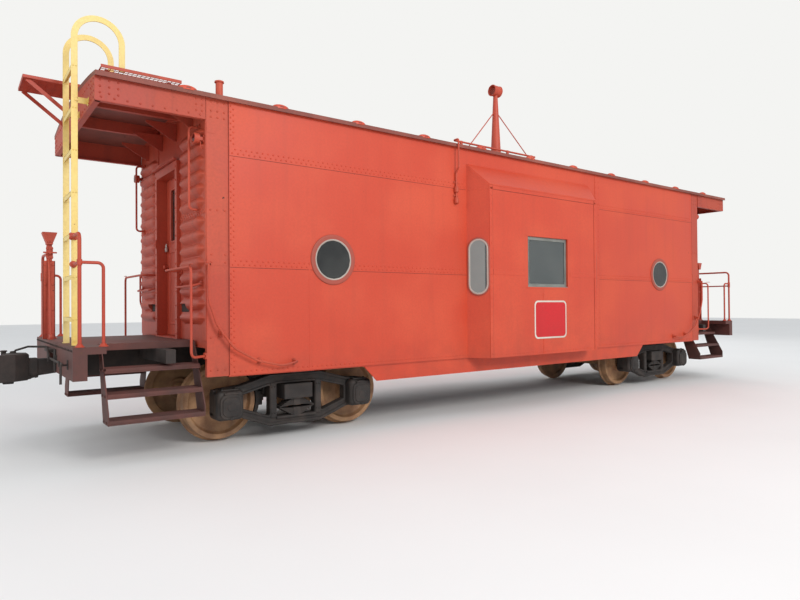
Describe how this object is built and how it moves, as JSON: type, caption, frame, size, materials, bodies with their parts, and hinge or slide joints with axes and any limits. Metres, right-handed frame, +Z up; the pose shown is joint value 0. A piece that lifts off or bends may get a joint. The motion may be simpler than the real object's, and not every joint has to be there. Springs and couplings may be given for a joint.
{
  "type": "bay-window caboose",
  "caption": "Steel bay-window caboose, a railway crew car with end platforms, ladders, corrugated ends and side bays, on swivelling trucks.",
  "frame": {"origin": "middle of the car on the plane under the wheel flanges", "axes": "+X along the car towards the B end, +Z up, the pictured side faces -Y"},
  "size_m": [13.52, 3.196, 4.7825],
  "materials": {
    "body_paint": "satin",
    "end_paint": "satin",
    "ladder_paint": "satin",
    "truck_black": "matte",
    "underframe_black": "matte",
    "wheel_steel": "matte",
    "window_glass": "gloss",
    "gasket_rubber": "matte",
    "sash_metal": "satin",
    "sign_paint": "satin"
  },
  "bodies": {
    "car": {"air_brake_gear": "underframe_black", "bay_left": "body_paint", "bay_right": "body_paint", "bay_window_sashes": "sash_metal", "body_bolsters": "underframe_black", "brake_stands": "end_paint", "center_sill": "underframe_black", "couplers": "underframe_black", "cross_bearers": "underframe_black", "door_frames": "end_paint", "end_handrails": "end_paint", "end_lamps": "end_paint", "end_panels": "end_paint", "end_railings": "end_paint", "end_walls": "end_paint", "floor": "underframe_black", "hood_fascias": "body_paint", "ladders": "ladder_paint", "platforms": "underframe_black", "roof": "body_paint", "roof_pipework": "body_paint", "roof_walks": "end_paint", "side_handrails": "body_paint", "side_sills": "body_paint", "side_wall_left": "body_paint", "side_wall_right": "body_paint", "sign_plates": "sign_paint", "smoke_jack": "body_paint", "steps": "underframe_black", "window_gaskets": "gasket_rubber", "window_glass": "window_glass"},
    "door_a": {"door_a": "end_paint", "door_glass_a": "window_glass"},
    "door_b": {"door_b": "end_paint", "door_glass_b": "window_glass"},
    "truck_a": {"truck_a_side_frames": "truck_black", "truck_a_bolster": "truck_black", "truck_a_springs": "truck_black"},
    "truck_b": {"truck_b_side_frames": "truck_black", "truck_b_bolster": "truck_black", "truck_b_springs": "truck_black"},
    "wheelset_1": {"wheelset_1": "wheel_steel"},
    "wheelset_2": {"wheelset_2": "wheel_steel"},
    "wheelset_3": {"wheelset_3": "wheel_steel"},
    "wheelset_4": {"wheelset_4": "wheel_steel"}
  },
  "joints": [
    {"name": "truck_a_swivel", "type": "hinge", "parent": "car", "child": "truck_a", "pos_m": [-3.8, 0, 0.667], "axis": [0, 0, 1], "range_deg": [-4.5, 4.5]},
    {"name": "truck_b_swivel", "type": "hinge", "parent": "car", "child": "truck_b", "pos_m": [3.8, 0, 0.667], "axis": [0, 0, 1], "range_deg": [-4.5, 4.5]},
    {"name": "wheelset_1_spin", "type": "hinge", "parent": "truck_a", "child": "wheelset_1", "pos_m": [-4.638, 0, 0.447], "axis": [0, 1, 0], "continuous": true},
    {"name": "wheelset_2_spin", "type": "hinge", "parent": "truck_a", "child": "wheelset_2", "pos_m": [-2.962, 0, 0.447], "axis": [0, 1, 0], "continuous": true},
    {"name": "wheelset_3_spin", "type": "hinge", "parent": "truck_b", "child": "wheelset_3", "pos_m": [2.962, 0, 0.447], "axis": [0, 1, 0], "continuous": true},
    {"name": "wheelset_4_spin", "type": "hinge", "parent": "truck_b", "child": "wheelset_4", "pos_m": [4.638, 0, 0.447], "axis": [0, 1, 0], "continuous": true},
    {"name": "door_a_swing", "type": "hinge", "parent": "car", "child": "door_a", "pos_m": [-4.819, -0.383, 2.13], "axis": [0, 0, -1], "range_deg": [0, 100]},
    {"name": "door_b_swing", "type": "hinge", "parent": "car", "child": "door_b", "pos_m": [4.819, 0.383, 2.13], "axis": [0, 0, -1], "range_deg": [0, 100]}
  ]
}
